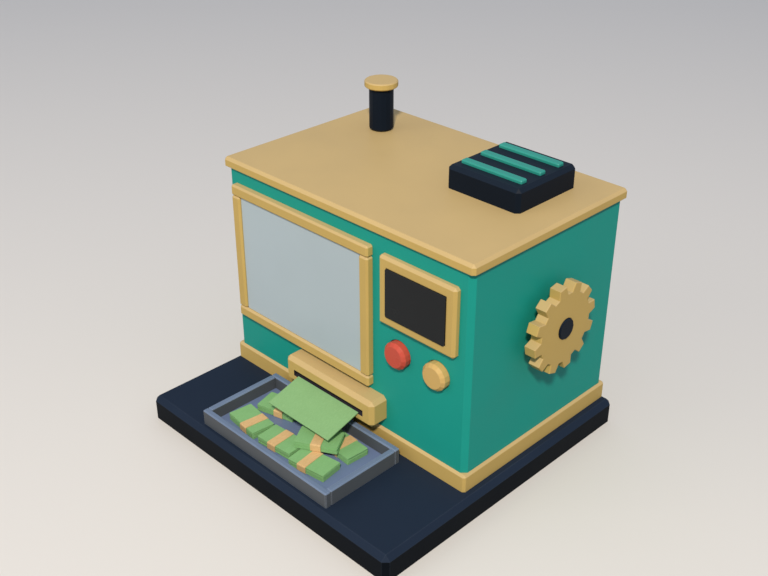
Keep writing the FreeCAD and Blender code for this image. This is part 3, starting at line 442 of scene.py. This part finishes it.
# Works inside: grey acetal frames and guide, nylon gears, dark soft rollers, a
# brass bush, and zinc-plated screws, shaft and springs.
acetal = coloured_finish("moulded_acetal_grey", "#8C9096", "#A5A9AE", rough=0.4, grain=0.8 * MM,
                         depth=0.02 * MM, ior=1.48)
nylon = coloured_finish("moulded_nylon_natural", "#DAD8CE", "#ECEAE2", rough=0.42, grain=0.8 * MM,
                        depth=0.02 * MM, ior=1.53)
soft_rubber = coloured_finish("ground_rubber_black", "#2E2E30", "#454547", rough=0.8, grain=0.6 * MM,
                              depth=0.04 * MM, ior=1.52)
dress(acetal, "button_bracket", "paper_guide", "mech_plate_left", "mech_plate_right")
dress(nylon, "drive_gear", "idler_gear")
dress(soft_rubber, "feed_roller", "pinch_roller")


def bare_metal(name, tint, rough, scratch):
    """Metal with fine drawn or turned scratches."""
    material, shader, place = start_material(name)
    shader.inputs["Metallic"].default_value = 1.0
    grain = add(material, "TexNoise", {"Scale": 1 / scratch, "Detail": 2.0}, [("Vector", place, "Object")])
    tone = add(material, "MapRange", {"To Min": 0.9, "To Max": 1.08}, [("Value", grain, "Fac")])
    base = add(material, "HueSaturation", {"Color": colour(tint)}, [("Value", tone, "Result")])
    gloss = add(material, "MapRange", {"To Min": rough - 0.08, "To Max": rough + 0.08},
                [("Value", grain, "Fac")])
    bump = add(material, "Bump", {"Strength": 0.5, "Distance": 0.01 * MM}, [("Height", grain, "Fac")])
    join_to(material, shader, "Base Color", base, "Color")
    join_to(material, shader, "Roughness", gloss, "Result")
    join_to(material, shader, "Normal", bump, "Normal")
    return material


zinc_steel = bare_metal("zinc_plated_steel", "#A9ABAD", 0.35, 0.4 * MM)
turned_brass = bare_metal("turned_brass", "#C9A55C", 0.3, 0.4 * MM)
dress(zinc_steel, "drive_shaft", "red_button_spring", "gold_button_spring", "base_screw_front_left",
      "base_screw_front_right", "base_screw_rear_left", "base_screw_rear_right", "cover_screw_left",
      "cover_screw_right")
dress(turned_brass, "shaft_bush")


# Floor, light and camera: a pale floor, a soft key high between the front and the
# right, a large weak fill from the front left, and an even cool surround. The eye,
# metal and glass see the floor paler than it lights the object.
FLOOR_DROP = 0.2 * MM
bpy.ops.mesh.primitive_plane_add(size=9.0, location=(0, 0, -FLOOR_DROP))
floor = bpy.context.object
floor.name = "floor"
floor_paint, floor_shader, _ = start_material("matt_floor_paint")
floor_shader.inputs["Roughness"].default_value = 0.8
seen_by = add(floor_paint, "LightPath", {})
eye_or_gloss = add(floor_paint, "Math", {"operation": "MAXIMUM"},
                   [(0, seen_by, "Is Camera Ray"), (1, seen_by, "Is Glossy Ray")])
eye_gloss_or_glass = add(floor_paint, "Math", {"operation": "MAXIMUM"},
                         [(0, eye_or_gloss, "Value"), (1, seen_by, "Is Transmission Ray")])
shown = add(floor_paint, "Mix", {"data_type": "RGBA", 6: colour("#857A6C"), 7: colour("#DEDCD7")},
            [(0, eye_gloss_or_glass, "Value")])
join_to(floor_paint, floor_shader, "Base Color", shown, 2)
floor.data.materials.append(floor_paint)

LIT_POINT = Vector((0, 0, 80 * MM))


def softbox(name, place, width, watts, tint):
    """A square area lamp turned towards the middle of the cabinet."""
    lamp = bpy.data.lights.new(name, "AREA")
    lamp.shape = "SQUARE"
    lamp.size = width
    lamp.energy = watts
    lamp.color = colour(tint)[:3]
    holder = bpy.data.objects.new(name, lamp)
    holder.location = place
    holder.rotation_euler = (LIT_POINT - Vector(place)).to_track_quat("-Z", "Y").to_euler()
    bpy.context.collection.objects.link(holder)


softbox("key", (1.14, -1.34, 1.83), 0.2, 57.0, "#FFF3E2")
softbox("fill", (-0.9, -1.8, 0.9), 1.4, 7.0, "#FFF3E2")

world = bpy.data.worlds.new("surround")
bpy.context.scene.world = world
world.use_nodes = True
surround = world.node_tree.nodes["Background"]
surround.inputs["Color"].default_value = colour("#D6E1F8")
surround.inputs["Strength"].default_value = 0.5

camera = bpy.data.cameras.new("camera")
camera.lens = 50.0
camera.sensor_width = 36.0
viewer = bpy.data.objects.new("camera", camera)
viewer.location = (398.8 * MM, -397.3 * MM, 413.6 * MM)
viewer.rotation_euler = (math.radians(60.615), 0.0, math.radians(45.0))
bpy.context.collection.objects.link(viewer)
bpy.context.scene.camera = viewer
bpy.context.scene.view_settings.view_transform = "Standard"
